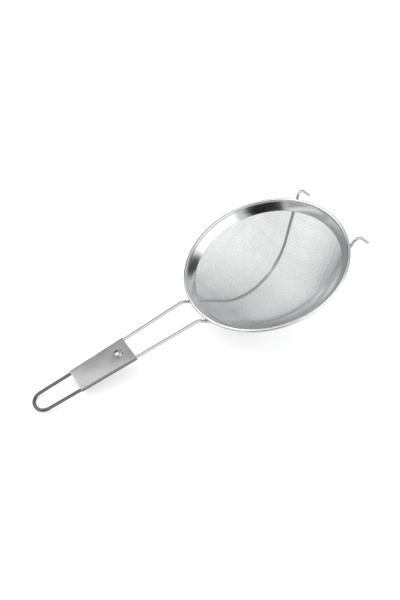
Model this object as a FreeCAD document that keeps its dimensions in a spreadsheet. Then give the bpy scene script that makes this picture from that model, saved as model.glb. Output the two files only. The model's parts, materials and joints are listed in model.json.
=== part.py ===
"""Tea strainer: a woven mesh bowl in a folded rim band, carried by one bent wire that is also
the handle, with a folded sheet grip riveted over the wire.

Everything is built in the rim's own frame: the origin is the centre of the rim, +Z is the rim's
axis and the handle points to -X. One placement then tips the whole strainer onto the table, where
it rests on the bottom of the bowl and on the end of the hanging loop, as it does when laid down.
"""
import FreeCAD, Part
import math
import os
import Sketcher
from FreeCAD import Placement, Rotation, Vector

DRIVING_SIZES = {
    # rim band: one strip folded over a wire hoop and over the edge of the mesh
    "rim_radius": 50.0,
    "strip_thickness": 0.35,
    "hoop_wire_diameter": 1.4,
    "flange_length": 6.9,
    "lip_length": 5.2,
    "wall_angle": 51.9,
    # mesh bowl: a round bottom, then a nearly straight wall at the angle of the rim's flange
    "mesh_thickness": 0.5,
    "mesh_edge_depth": 0.8,
    "bottom_radius": 38.9,
    "bottom_angle": 46.2,
    # frame wire: the corners of its centreline on the +Y side, and the bends at them
    "frame_wire_diameter": 1.9,
    "hook_tip_x": 52.84,
    "hook_tip_y": 28.25,
    "hook_tip_z": -5.86,
    "hook_top_x": 47.73,
    "hook_top_y": 27.71,
    "hook_top_z": 4.2,
    "hook_bend": 3.0,
    "cradle_x": -1.33,
    "cradle_y": 15.11,
    "cradle_z": -52.95,
    "cradle_bend": 38.2,
    "leg_top_x": -53.02,
    "leg_top_y": 9.32,
    "leg_top_z": 2.38,
    "leg_bend": 4.0,
    "loop_start_x": -130.0,
    "loop_start_y": 6.98,
    "loop_start_z": 10.06,
    "loop_start_bend": 100.0,
    "loop_end_x": -154.0,
    "loop_end_y": 6.4,
    "loop_end_z": 12.85,
    # grip: a sheet sleeve folded around both wires, its seam underneath
    "grip_start": 41.0,
    "grip_length": 34.9,
    "grip_sheet": 0.3,
    "grip_clearance": 0.03,
    "grip_seam": 0.4,
    "rivet_position": 6.9,
    "rivet_head_diameter": 5.6,
    "rivet_head_height": 1.5,
    "rivet_shank_diameter": 2.6,
    "rivet_tail_diameter": 4.2,
    "rivet_tail_height": 0.8,
    # resistance welds where the frame wire crosses under the bead
    "weld_radius": 0.75,
}

doc = FreeCAD.newDocument("tea_strainer")
sizes = doc.addObject("Spreadsheet::Sheet", "Sizes")
for row, (alias, number) in enumerate(DRIVING_SIZES.items(), start=1):
    sizes.set(f"A{row}", alias.replace("_", " "))
    sizes.set(f"B{row}", str(number))
    sizes.setAlias(f"B{row}", alias)
doc.recompute()


def size(alias):
    """The number that the sheet holds under this alias."""
    return float(sizes.get(alias))


def value(expression):
    """What an expression of the sheet's cells comes to."""
    result = sizes.evalExpression(expression)
    return float(getattr(result, "Value", result))


# ------------------------------------------------------------------ shared expressions
BEAD_RADIUS = "(Sizes.hoop_wire_diameter / 2 + Sizes.strip_thickness)"
HOOP_RADIUS = "(Sizes.hoop_wire_diameter / 2)"
BEAD_CENTRE = f"(Sizes.rim_radius - {BEAD_RADIUS})"
HALF_MESH = "(Sizes.mesh_thickness / 2)"
FOLD_FACE = f"({HALF_MESH} + Sizes.strip_thickness)"
WALL_COS = "cos(Sizes.wall_angle)"
WALL_SIN = "sin(Sizes.wall_angle)"
FLANGE_END_R = f"({BEAD_CENTRE} - Sizes.flange_length * {WALL_COS})"
FLANGE_END_Z = f"(-Sizes.flange_length * {WALL_SIN})"
# the wall's arc joins the bottom's arc to the straight flange, tangent to both
WALL_RADIUS = (
    f"(({FLANGE_END_R} - Sizes.bottom_radius * sin(Sizes.bottom_angle))"
    f" / ({WALL_SIN} - sin(Sizes.bottom_angle)))"
)
BOTTOM_CENTRE_Z = (
    f"({FLANGE_END_Z} + {WALL_RADIUS} * {WALL_COS}"
    f" - ({WALL_RADIUS} - Sizes.bottom_radius) * cos(Sizes.bottom_angle))"
)
WIRE_RADIUS = "(Sizes.frame_wire_diameter / 2)"


def on_wall(along, inward):
    """A point of the flange's section: down the wall from the bead's centre, and towards the bowl."""
    return (
        f"{BEAD_CENTRE} - ({along}) * {WALL_COS} - ({inward}) * {WALL_SIN}",
        f"-({along}) * {WALL_SIN} + ({inward}) * {WALL_COS}",
    )


def on_bottom(angle, inward):
    """A point of the bowl's round bottom, at an angle from its lowest point."""
    return (
        f"(Sizes.bottom_radius - ({inward})) * sin({angle})",
        f"{BOTTOM_CENTRE_Z} - (Sizes.bottom_radius - ({inward})) * cos({angle})",
    )


def round_off(half_width, radius):
    """How far along the wall a circle about the bead's centre is that wide."""
    return f"sqrt(({radius}) ^ 2 - ({half_width}) ^ 2)"


# ------------------------------------------------------------------ sketches
def origin_plane(body, role):
    return next(plane for plane in body.Origin.OriginFeatures if plane.Role == role)


def new_sketch(body, name, role, offset=None):
    sketch = body.newObject("Sketcher::SketchObject", name)
    sketch.AttachmentSupport = [(origin_plane(body, role), "")]
    sketch.MapMode = "FlatFace"
    if offset:
        sketch.setExpression("AttachmentOffset.Base.z", offset)
    return sketch


def constrain(sketch, kind, expression, *where):
    """Add a driving dimension and bind it to the sheet."""
    amount = value(expression)
    index = sketch.addConstraint(Sketcher.Constraint(kind, *where, amount))
    sketch.setExpression(f"Constraints[{index}]", expression)


def place_vertex(sketch, edge, end, corner):
    """Fix a vertex by its two distances from the sketch's origin."""
    for kind, expression in zip(("DistanceX", "DistanceY"), corner):
        if abs(value(expression)) < 1e-9:
            axis = -2 if kind == "DistanceX" else -1
            sketch.addConstraint(Sketcher.Constraint("PointOnObject", edge, end, axis))
        else:
            constrain(sketch, kind, expression, -1, 1, edge, end)


def draw_outline(sketch, corners, arcs):
    """A closed outline through the corners. arcs gives, for the side that starts at a corner,
    its radius and a point that it passes through. A half circle has no radius to set, because
    its ends fix it: it is held by its centre instead, level with its first corner."""
    points = [Vector(value(x), value(y), 0) for x, y in corners]
    count = len(points)
    for side, start in enumerate(points):
        end = points[(side + 1) % count]
        if side in arcs:
            through = Vector(*(value(part) for part in arcs[side][1]), 0)
            sketch.addGeometry(Part.Arc(start, through, end), False)
        else:
            sketch.addGeometry(Part.LineSegment(start, end), False)
    ends = []
    for side, start in enumerate(points):
        first = sketch.getPoint(side, 1)
        ends.append((1, 2) if first.distanceToPoint(start) < 1e-6 else (2, 1))
    for side in range(count):
        following = (side + 1) % count
        sketch.addConstraint(
            Sketcher.Constraint("Coincident", side, ends[side][1], following, ends[following][0])
        )
    for side, corner in enumerate(corners):
        place_vertex(sketch, side, ends[side][0], corner)
    for side, (radius, _) in arcs.items():
        if radius:
            constrain(sketch, "Radius", radius, side)
        else:
            constrain(sketch, "DistanceX", corners[side][0], -1, 1, side, 3)


def revolve(body, sketch, name):
    turn = body.newObject("PartDesign::Revolution", name)
    turn.Profile = sketch
    turn.ReferenceAxis = (sketch, ["V_Axis"])
    turn.Angle = 360
    body.Tip = turn
    return turn


def new_body(label):
    body = doc.addObject("PartDesign::Body", label)
    body.Label = label
    return body


# ------------------------------------------------------------------ rim band
def make_rim_band():
    """The strip's section: flange inside, bead rolled over the hoop, short lip outside."""
    body = new_body("rim_band")
    sketch = new_sketch(body, "rim_section", "XZ_Plane")
    outer_start = round_off(FOLD_FACE, BEAD_RADIUS)
    inner_start = round_off(HALF_MESH, HOOP_RADIUS)
    corners = [
        on_wall("Sizes.flange_length", FOLD_FACE),
        on_wall(outer_start, FOLD_FACE),
        on_wall(outer_start, f"-{FOLD_FACE}"),
        on_wall("Sizes.lip_length", f"-{FOLD_FACE}"),
        on_wall("Sizes.lip_length", f"-{HALF_MESH}"),
        on_wall(inner_start, f"-{HALF_MESH}"),
        on_wall(inner_start, HALF_MESH),
        on_wall("Sizes.flange_length", HALF_MESH),
    ]
    arcs = {
        1: (BEAD_RADIUS, on_wall(f"-{BEAD_RADIUS}", "0")),
        5: (HOOP_RADIUS, on_wall(f"-{HOOP_RADIUS}", "0")),
    }
    draw_outline(sketch, corners, arcs)
    revolve(body, sketch, "rim_turn")
    return body


def make_rim_hoop_wire():
    """The plain hoop inside the bead."""
    hoop = doc.addObject("Part::Torus", "rim_hoop_wire")
    hoop.setExpression("Radius1", BEAD_CENTRE)
    hoop.setExpression("Radius2", HOOP_RADIUS)
    return hoop


# ------------------------------------------------------------------ mesh bowl
def make_mesh_bowl():
    """The woven bowl as one thin wall, whose edge runs up inside the fold of the rim band."""
    body = new_body("mesh_bowl")
    sketch = new_sketch(body, "bowl_section", "XZ_Plane")
    outside = f"-{HALF_MESH}"
    middle_angle = "(Sizes.bottom_angle / 2)"
    wall_angle = "((Sizes.bottom_angle + Sizes.wall_angle) / 2)"
    wall_centre = (
        f"({FLANGE_END_R} - {WALL_RADIUS} * {WALL_SIN})",
        f"({FLANGE_END_Z} + {WALL_RADIUS} * {WALL_COS})",
    )

    def on_arc(inward):
        radius = f"({WALL_RADIUS} - ({inward}))"
        return (
            f"{wall_centre[0]} + {radius} * sin({wall_angle})",
            f"{wall_centre[1]} - {radius} * cos({wall_angle})",
        )

    corners = [
        on_bottom("0", outside),
        on_bottom("Sizes.bottom_angle", outside),
        on_wall("Sizes.flange_length", outside),
        on_wall("Sizes.mesh_edge_depth", outside),
        on_wall("Sizes.mesh_edge_depth", HALF_MESH),
        on_wall("Sizes.flange_length", HALF_MESH),
        on_bottom("Sizes.bottom_angle", HALF_MESH),
        on_bottom("0", HALF_MESH),
    ]
    arcs = {
        0: (f"Sizes.bottom_radius + {HALF_MESH}", on_bottom(middle_angle, outside)),
        1: (f"{WALL_RADIUS} + {HALF_MESH}", on_arc(outside)),
        5: (f"{WALL_RADIUS} - {HALF_MESH}", on_arc(HALF_MESH)),
        6: (f"Sizes.bottom_radius - {HALF_MESH}", on_bottom(middle_angle, HALF_MESH)),
    }
    draw_outline(sketch, corners, arcs)
    revolve(body, sketch, "bowl_turn")
    return body


# ------------------------------------------------------------------ frame wire
def corner_point(name):
    return Vector(size(f"{name}_x"), size(f"{name}_y"), size(f"{name}_z"))


def mirrored(point):
    return Vector(point.x, -point.y, point.z)


def bend(before, corner, after, radius):
    """The arc that rounds a corner of the wire: its start, middle and end."""
    arrive = (before - corner).normalize()
    leave = (after - corner).normalize()
    half = arrive.getAngle(leave) / 2
    reach = radius / math.tan(half)
    inward = (arrive + leave).normalize()
    middle = corner + inward * (radius / math.sin(half) - radius)
    return corner + arrive * reach, middle, corner + leave * reach


def bent_wire_path(corners, radii):
    """Straight runs through the corners, joined by tangent bends."""
    edges = []
    position = corners[0]
    for index, radius in enumerate(radii, start=1):
        start, middle, end = bend(corners[index - 1], corners[index], corners[index + 1], radius)
        edges.append(Part.LineSegment(position, start).toShape())
        edges.append(Part.Arc(start, middle, end).toShape())
        position = end
    edges.append(Part.LineSegment(position, corners[-1]).toShape())
    return Part.Wire(edges)


def frame_wire_path():
    names = ("hook_tip", "hook_top", "cradle", "leg_top", "loop_start", "loop_end")
    one_side = [corner_point(name) for name in names]
    corners = one_side + [mirrored(point) for point in reversed(one_side)]
    end_bend = size("loop_end_y") * 0.97
    one_side_bends = [size(f"{name}_bend") for name in ("hook", "cradle", "leg", "loop_start")]
    radii = one_side_bends + [end_bend, end_bend] + one_side_bends[::-1]
    return bent_wire_path(corners, radii)


def make_frame_wire():
    """One wire from hook to hook: under the bowl, along the handle, round the hanging loop."""
    path = frame_wire_path()
    first = path.Edges[0]
    start = first.valueAt(first.FirstParameter)
    direction = first.tangentAt(first.FirstParameter)
    radius = size("frame_wire_diameter") / 2
    section = Part.Wire([Part.makeCircle(radius, start, direction)])
    wire = doc.addObject("Part::Feature", "frame_wire")
    wire.Shape = path.makePipeShell([section], True, False)
    expected = math.pi * radius**2 * path.Length
    if abs(wire.Shape.Volume / expected - 1) > 0.01:
        raise ValueError("the frame wire's volume doesn't match its length")
    return wire


# ------------------------------------------------------------------ grip sleeve and rivet
def grip_slope():
    """How steeply the handle rises away from the rim's plane, in degrees."""
    top, start = corner_point("leg_top"), corner_point("loop_start")
    return math.degrees(math.atan2(start.z - top.z, top.x - start.x))


def grip_placement():
    """The sleeve's own frame: at its bowl end on the centreline, +X back towards the bowl."""
    slope = math.radians(grip_slope())
    top = corner_point("leg_top")
    reach = size("grip_start")
    base = Vector(top.x - reach * math.cos(slope), 0, top.z + reach * math.sin(slope))
    return Placement(base, Rotation(Vector(0, 1, 0), grip_slope()))


RUN_LENGTH = (
    "sqrt((Sizes.leg_top_x - Sizes.loop_start_x) ^ 2 + (Sizes.loop_start_z - Sizes.leg_top_z) ^ 2)"
)


def wire_offset(distance):
    """Half the distance between the two handle wires, that far along the handle."""
    share = f"(Sizes.grip_start + ({distance})) / {RUN_LENGTH}"
    return f"(Sizes.leg_top_y + (Sizes.loop_start_y - Sizes.leg_top_y) * {share})"


def draw_sleeve_section(sketch, distance, radius):
    """A flattened tube: straight above and below, round where it goes about each wire."""
    side = wire_offset(distance)
    corners = [
        (side, f"-{radius}"),
        (side, radius),
        (f"-{side}", radius),
        (f"-{side}", f"-{radius}"),
    ]
    arcs = {0: (None, (f"{side} + {radius}", "0")), 2: (None, (f"-{side} - {radius}", "0"))}
    draw_outline(sketch, corners, arcs)


def loft_sleeve(body, kind, name, radius):
    near = new_sketch(body, f"{name}_near", "YZ_Plane")
    draw_sleeve_section(near, "0", radius)
    far = new_sketch(body, f"{name}_far", "YZ_Plane", "-Sizes.grip_length")
    draw_sleeve_section(far, "Sizes.grip_length", radius)
    doc.recompute()
    loft = body.newObject(kind, name)
    loft.Profile = near
    loft.Sections = [far]
    loft.Ruled = True
    body.Tip = loft
    doc.recompute()
    return loft


def require_cut(before, after, name):
    if not after.Volume < before - 1e-6:
        raise ValueError(f"{name} removed nothing")


def make_grip_sleeve():
    body = new_body("grip_sleeve")
    bore = f"({WIRE_RADIUS} + Sizes.grip_clearance)"
    loft_sleeve(body, "PartDesign::AdditiveLoft", "sleeve_outside", f"({bore} + Sizes.grip_sheet)")
    solid_volume = body.Shape.Volume
    loft_sleeve(body, "PartDesign::SubtractiveLoft", "sleeve_inside", bore)
    require_cut(solid_volume, body.Shape, "sleeve_inside")
    shell_volume = body.Shape.Volume

    # the butt seam where the sheet's two edges meet, along the underside
    seam = new_sketch(body, "seam_line", "XY_Plane")
    half_seam = "Sizes.grip_seam / 2"
    past = "Sizes.grip_length + Sizes.grip_seam"
    seam_corners = [
        ("Sizes.grip_seam", f"-{half_seam}"),
        ("Sizes.grip_seam", half_seam),
        (f"-({past})", half_seam),
        (f"-({past})", f"-{half_seam}"),
    ]
    draw_outline(seam, seam_corners, {})
    doc.recompute()
    slot = body.newObject("PartDesign::Pocket", "seam_slot")
    slot.Profile = seam
    slot.Reversed = False
    slot.setExpression("Length", f"2 * ({bore} + Sizes.grip_sheet)")
    body.Tip = slot
    doc.recompute()
    require_cut(shell_volume, body.Shape, "seam_slot")
    seamed_volume = body.Shape.Volume

    rivet_hole = new_sketch(body, "rivet_hole_circle", "XY_Plane")
    rivet_hole.addGeometry(Part.Circle(Vector(-size("rivet_position"), 0, 0), Vector(0, 0, 1), 1.0))
    constrain(rivet_hole, "DistanceX", "-Sizes.rivet_position", -1, 1, 0, 3)
    rivet_hole.addConstraint(Sketcher.Constraint("PointOnObject", 0, 3, -1))
    constrain(rivet_hole, "Diameter", "Sizes.rivet_shank_diameter", 0)
    doc.recompute()
    hole = body.newObject("PartDesign::Pocket", "rivet_hole")
    hole.Profile = rivet_hole
    hole.Midplane = True
    hole.setExpression("Length", f"4 * ({bore} + Sizes.grip_sheet)")
    body.Tip = hole
    doc.recompute()
    require_cut(seamed_volume, body.Shape, "rivet_hole")
    body.Placement = grip_placement()
    return body


def make_grip_rivet():
    """A domed head above the sleeve, a shank through both sheets, a flat formed tail below."""
    body = new_body("grip_rivet")
    sketch = new_sketch(body, "rivet_section", "XZ_Plane")
    sheet_top = f"({WIRE_RADIUS} + Sizes.grip_clearance + Sizes.grip_sheet)"
    head = "(Sizes.rivet_head_diameter / 2)"
    height = "Sizes.rivet_head_height"
    shank = "(Sizes.rivet_shank_diameter / 2)"
    tail = "(Sizes.rivet_tail_diameter / 2)"
    tail_height = "Sizes.rivet_tail_height"
    dome = f"(({head} ^ 2 + {height} ^ 2) / (2 * {height}))"
    tail_dome = f"(({tail} ^ 2 + {tail_height} ^ 2) / (2 * {tail_height}))"
    corners = [
        ("0", f"{sheet_top} + {height}"),
        (head, sheet_top),
        (shank, sheet_top),
        (shank, f"-{sheet_top}"),
        (tail, f"-{sheet_top}"),
        ("0", f"-{sheet_top} - {tail_height}"),
    ]
    arcs = {
        0: (dome, (f"{dome} * sin(20)", f"{sheet_top} + {height} - {dome} * (1 - cos(20))")),
        4: (
            tail_dome,
            (f"{tail_dome} * sin(15)", f"-{sheet_top} - {tail_height} + {tail_dome} * (1 - cos(15))"),
        ),
    }
    draw_outline(sketch, corners, arcs)
    revolve(body, sketch, "rivet_turn")
    along = Placement(Vector(-size("rivet_position"), 0, 0), Rotation())
    body.Placement = grip_placement() * along
    return body


# ------------------------------------------------------------------ welds
def make_frame_welds(band, wire):
    """Four nuggets in the corners between the bead and the frame wire, where the wire passes."""
    bead_circle = Part.makeCircle(value(BEAD_CENTRE))
    nuggets = []
    for far_corner in ("hook_top", "leg_top"):
        run = Part.LineSegment(corner_point("cradle"), corner_point(far_corner)).toShape()
        on_bead, on_wire = bead_circle.distToShape(run)[1][0]
        towards = (on_wire - on_bead).normalize()
        contact = on_bead + towards * value(BEAD_RADIUS)
        for place in (contact, mirrored(contact)):
            ball = Part.makeSphere(size("weld_radius"), place)
            nugget = ball.cut(band.Shape).cut(wire.Shape)
            nuggets.append(max(nugget.Solids, key=lambda solid: solid.Volume))
    welds = doc.addObject("Part::Feature", "frame_welds")
    welds.Shape = Part.makeCompound(nuggets)
    return welds


# ------------------------------------------------------------------ laying it on the table
def resting_tilt():
    """The angle that brings the bowl's bottom and the loop's end down onto one plane."""
    bowl_radius = value(f"Sizes.bottom_radius + {HALF_MESH}")
    wire_radius = value(WIRE_RADIUS)
    rise = value(BOTTOM_CENTRE_Z) - size("loop_end_z")
    reach = -size("loop_end_x")
    span = math.hypot(reach, rise)
    return math.degrees(math.asin((bowl_radius - wire_radius) / span) - math.atan2(rise, reach))


def lay_on_table(pieces):
    """Tip every piece by the resting tilt, then bring the whole to the table's origin."""
    tip = Placement(Vector(0, 0, 0), Rotation(Vector(0, 1, 0), -resting_tilt()))
    for piece in pieces:
        piece.Placement = tip * piece.Placement
    doc.recompute()
    box = FreeCAD.BoundBox()
    for piece in pieces:
        box.add(piece.Shape.optimalBoundingBox(False, False))
    shift = Vector(-box.Center.x, -box.Center.y, -box.ZMin)
    for piece in pieces:
        piece.Placement = Placement(shift, Rotation()) * piece.Placement
    doc.recompute()
    rim_centre = tip.multVec(Vector(0, 0, 0)) + shift
    print("resting tilt", round(resting_tilt(), 3), "rim centre", rim_centre)
    print("whole size", box.XLength, box.YLength, box.ZLength)


# ------------------------------------------------------------------ build, check, write
rim_band = make_rim_band()
rim_hoop_wire = make_rim_hoop_wire()
mesh_bowl = make_mesh_bowl()
frame_wire = make_frame_wire()
grip_sleeve = make_grip_sleeve()
grip_rivet = make_grip_rivet()
doc.recompute()
frame_welds = make_frame_welds(rim_band, frame_wire)
nodes = [rim_band, rim_hoop_wire, mesh_bowl, frame_wire, grip_sleeve, grip_rivet, frame_welds]
lay_on_table(nodes)

for item in doc.Objects:
    if "Invalid" in item.State or "Error" in item.State:
        raise ValueError(f"{item.Label} failed to recompute: {item.State}")
os.makedirs("parts", exist_ok=True)
for node in nodes:
    if node.Shape.isNull() or not node.Shape.isValid():
        raise ValueError(f"{node.Label} has no valid shape")
    node.Shape.exportStep(f"parts/{node.Label}.step")
    print(node.Label, len(node.Shape.Solids), "solids", round(node.Shape.Volume, 2), "mm3")
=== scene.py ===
"""Tea strainer: a woven bowl in a rolled rim, on one bent wire that is hooks, cradle and handle."""

import json
import math

import bmesh
import bpy
import numpy as np
from bpy.props import FloatProperty, FloatVectorProperty, IntProperty, PointerProperty, StringProperty
from mathutils import Matrix, Vector


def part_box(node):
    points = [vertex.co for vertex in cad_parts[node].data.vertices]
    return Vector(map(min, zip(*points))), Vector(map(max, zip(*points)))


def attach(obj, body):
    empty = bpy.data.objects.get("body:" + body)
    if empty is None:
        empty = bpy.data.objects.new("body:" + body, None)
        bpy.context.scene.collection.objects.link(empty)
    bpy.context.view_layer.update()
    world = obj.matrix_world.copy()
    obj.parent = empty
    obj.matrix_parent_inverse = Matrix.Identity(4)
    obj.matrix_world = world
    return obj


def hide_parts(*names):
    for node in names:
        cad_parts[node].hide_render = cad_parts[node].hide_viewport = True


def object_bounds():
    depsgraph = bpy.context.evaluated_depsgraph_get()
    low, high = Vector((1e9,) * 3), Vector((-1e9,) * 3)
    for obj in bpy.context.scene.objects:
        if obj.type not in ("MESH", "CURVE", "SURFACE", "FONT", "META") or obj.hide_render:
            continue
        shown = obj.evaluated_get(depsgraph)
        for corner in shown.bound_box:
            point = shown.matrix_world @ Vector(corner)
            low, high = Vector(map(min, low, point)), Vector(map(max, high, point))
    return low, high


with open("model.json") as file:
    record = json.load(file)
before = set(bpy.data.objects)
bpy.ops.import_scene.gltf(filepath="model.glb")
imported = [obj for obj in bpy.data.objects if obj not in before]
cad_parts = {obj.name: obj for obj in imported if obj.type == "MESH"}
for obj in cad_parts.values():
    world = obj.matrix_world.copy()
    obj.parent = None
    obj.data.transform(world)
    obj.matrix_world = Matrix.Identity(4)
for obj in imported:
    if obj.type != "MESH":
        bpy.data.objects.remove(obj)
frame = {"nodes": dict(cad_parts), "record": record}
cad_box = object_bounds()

bl_info = {
    "name": "Tea strainer",
    "version": (1, 0, 0),
    "blender": (4, 5, 0),
    "location": "3D View > Sidebar > Tea strainer",
    "description": "Makes a wire tea strainer piece by piece, with its finishes and a plain studio",
    "category": "Object",
}

MM = 0.001


def length(name, description, default):
    """A size in metres, given here in millimetres."""
    return FloatProperty(
        name=name, description=description, default=default * MM, min=0.0, precision=5, unit="LENGTH"
    )


def turn(name, description, default):
    """An angle, given here in degrees."""
    return FloatProperty(
        name=name, description=description, default=math.radians(default), subtype="ANGLE"
    )


def position(name, description, default):
    """A place in metres, given here in millimetres."""
    return FloatVectorProperty(
        name=name, description=description, unit="LENGTH", default=[c * MM for c in default]
    )


def finish_colour(name, description, default):
    """A colour kept as the sRGB hex value it was matched with."""
    return StringProperty(name=name, description=description, default=default, maxlen=7)


# ---------------------------------------------------------------- fixed numbers
# how far a piece may stand off the box of the plain CAD shape it replaces
CLOSE_FIT, SHEET_FIT, LOOSE_FIT = 0.15 * MM, 0.2 * MM, 0.9 * MM

PROFILE_SAMPLES = 6000  # points that measure the length of the cloth's section
NEWTON_STEPS = 6  # enough for a crossing to settle well under a micrometre
CONTACT_SAMPLES = 20001  # points that look for the touch of wire and bead

# steps of the sleeve: along it, each half underneath, round a fold, across the top
SLEEVE_ROWS, UNDER_STEPS, FOLD_STEPS, TOP_STEPS = 72, 22, 25, 64
DIMPLE_DEPTH, DIMPLE_REACH = 0.10 * MM, 3.4 * MM  # where the rivet pulls the sheet in
SHEET_EDGE_ROUNDING = 0.09 * MM
HEAD_EDGE, HEAD_SINK = 0.16 * MM, 0.12 * MM  # soft edge of a rivet's head, and how far it beds in
WIRE_SIDES = 40

# painted shade: the loop's wire is painted darker between these two places along the imported frame's X
LOOP_SHADE_STARTS, LOOP_SHADE_FULL = -73 * MM, -77 * MM
MOST_NOISE = (0.32, 0.68)  # most values of a noise texture lie between these
STUDIO_WALLS = 0.85  # brightness wherever no panel is
FLOOR_GLOW = 0.28


# ---------------------------------------------------------------- sizes and colours
class RimSizes(bpy.types.PropertyGroup):
    """The strip rolled over its hoop, and the wall of the cloth that it grips."""

    rim_radius: length("Rim radius", "Axis to the outside of the rolled bead", 50.0)
    strip_thickness: length("Strip thickness", "Gauge of the rim strip", 0.35)
    hoop_diameter: length("Hoop wire", "Diameter of the plain hoop inside the bead", 1.4)
    flange_length: length("Flange", "Bead centre to the inner edge of the strip", 6.9)
    lip_length: length("Lip", "Bead centre to the outer edge of the strip", 5.2)
    wall_angle: turn("Wall angle", "How steeply the flange goes down", 51.9)
    bead_blend: length("Bead blend", "Radius of the hollow where bead meets flange", 0.35)
    edge_rounding: length("Edge rounding", "Radius left on the strip's cut edges", 0.12)
    ripple: length("Ripple", "How far rolling left the flange out of true", 0.035)
    crown: length("Crown", "How far the flange stands up between bead and edge", 0.09)
    segments: IntProperty(name="Segments", description="Steps round the rim", default=384, min=24)


class ClothSizes(bpy.types.PropertyGroup):
    """The wire cloth of the bowl."""

    cloth_thickness: length("Cloth thickness", "Two wires where they cross", 0.5)
    edge_depth: length("Edge depth", "Bead centre to the cut edge of the cloth", 0.8)
    bottom_radius: length("Bottom radius", "Radius of the round bottom of the bowl", 38.9)
    bottom_angle: turn("Bottom angle", "Where the round bottom gives way to the wall", 46.2)
    pitch: length("Pitch", "Middle of one wire to the middle of the next", 0.8)
    wire_diameter: length("Cloth wire", "Diameter of each woven wire", 0.25)
    cloth_turn: turn("Cloth turn", "How the threads lie against the handle", 14.0)
    wire_sides: IntProperty(name="Wire sides", description="Faces round one cloth wire", default=4, min=3)


class WireSizes(bpy.types.PropertyGroup):
    """The one wire that is hooks, cradle, legs and loop, by the corners of half of it."""

    wire_diameter: length("Frame wire", "Diameter of the frame wire", 1.9)
    hook_tip: position("Hook tip", "Free end of a hook", (52.84, 28.25, -5.86))
    hook_top: position("Hook top", "Corner at the top of a hook", (47.73, 27.71, 4.2))
    cradle: position("Cradle", "Corner that the cradle goes round", (-1.33, 15.11, -52.95))
    leg_top: position("Leg top", "Corner where a leg turns into the handle", (-53.02, 9.32, 2.38))
    loop_start: position("Loop start", "Corner where the handle starts to level out", (-130.0, 6.98, 10.06))
    loop_end: position("Loop end", "Corner of the hanging loop", (-154.0, 6.4, 12.85))
    hook_bend: length("Hook bend", "Bend radius at the top of a hook", 3.0)
    cradle_bend: length("Cradle bend", "Bend radius under the bowl", 38.2)
    leg_bend: length("Leg bend", "Bend radius at the top of a leg", 4.0)
    level_bend: length("Levelling bend", "Bend radius where the handle levels out", 100.0)
    loop_bend: length("Loop bend", "Bend radius of each loop corner", 6.208)
    end_rounding: length("End rounding", "Radius tumbled onto the cut ends", 0.35)
    weld_radius: length("Weld nugget", "Rough radius of a weld nugget", 0.95)


class GripSizes(bpy.types.PropertyGroup):
    """The sheet folded round both handle wires, and its rivet."""

    grip_start: length("Grip start", "Leg corner to the bowl end of the sleeve", 41.0)
    grip_length: length("Grip length", "Length of the sleeve", 34.9)
    sheet: length("Sheet", "Gauge of the sleeve's sheet", 0.3)
    clearance: length("Clearance", "Gap between sheet and wire", 0.03)
    seam: length("Seam", "Gap between the sheet's edges, underneath", 0.4)
    crown: length("Crown", "How far the sheet's top springs up between the wires", 0.28)
    squareness: FloatProperty(
        name="Fold shape",
        description="1 folds the sheet round like the wire, less presses it squarer",
        default=0.62,
        min=0.3,
        max=1.0,
    )
    rivet_position: length("Rivet position", "Bowl end of the sleeve to the rivet", 6.9)
    head_diameter: length("Rivet head", "Diameter of the domed head", 5.6)
    head_height: length("Head height", "Height of the domed head", 1.5)
    shank_diameter: length("Rivet shank", "Diameter of the shank", 2.6)
    tail_diameter: length("Rivet tail", "Diameter of the formed tail", 4.2)
    tail_height: length("Tail height", "Height of the formed tail", 0.8)


class FinishColours(bpy.types.PropertyGroup):
    """What each metal gives back of white light, as sRGB hex."""

    strip: finish_colour("Strip", "Polished stainless strip", "#D4D5D5")
    cloth: finish_colour("Cloth", "Stainless wire cloth", "#C6C8C9")
    wire: finish_colour("Wire", "Bright drawn stainless wire", "#BEBEBD")
    # painted shade: this darker colour on the loop stands in for the dark that the loop reflects
    loop_painted_shade: finish_colour("Loop painted shade", "The same wire painted darker at the loop, as painted shade", "#666666")
    sheet: finish_colour("Sheet", "Satin stainless sheet", "#ACACAC")
    # painted shade: a darker colour painted on the sleeve's folds
    sheet_fold_painted_shade: finish_colour("Sheet fold painted shade", "The same sheet painted darker at the folds, as painted shade", "#7A7A7A")
    rivet: finish_colour("Rivet", "Bright headed rivet", "#B4B4B3")
    weld: finish_colour("Weld", "Heat-darkened weld metal", "#77726C")
    hoop: finish_colour("Hoop", "Plain drawn steel wire", "#9A9A9A")
    floor: finish_colour("Floor", "Pale studio floor", "#F7F7F7")


class StudioSettings(bpy.types.PropertyGroup):
    """The camera and the strength of the light."""

    azimuth: turn("Azimuth", "Way round the object, from the side that faces -Y", -29.513)
    elevation: turn("Elevation", "Camera's height above the table's plane", 42.526)
    roll: turn("Roll", "How far the camera is turned about its own line", -1.80)
    distance: length("Distance", "Camera to the point that it looks at", 458.18)
    target: position("Target", "Point that the camera looks at", (8.45, 6.56, 21.22))
    lens: FloatProperty(
        name="Lens", description="Focal length for a 36 mm long side", default=46.88, unit="CAMERA"
    )
    light: FloatProperty(name="Light", description="Strength of the whole studio", default=1.0, min=0.0)


# ---------------------------------------------------------------- small helpers
def linear(hex_colour):
    """An sRGB hex colour as linear RGBA."""
    parts = [int(hex_colour[k : k + 2], 16) / 255 for k in (1, 3, 5)]
    return tuple(c / 12.92 if c <= 0.04045 else ((c + 0.055) / 1.055) ** 2.4 for c in parts) + (1.0,)


def add_node(tree, kind, inputs=None, **settings):
    """Adds a node, sets its properties, then fills or links its inputs."""
    node = tree.nodes.new(kind)
    for key, value in settings.items():
        setattr(node, key, value)
    for key, value in (inputs or {}).items():
        if isinstance(value, bpy.types.NodeSocket):
            tree.links.new(value, node.inputs[key])
        else:
            node.inputs[key].default_value = value
    return node


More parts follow.
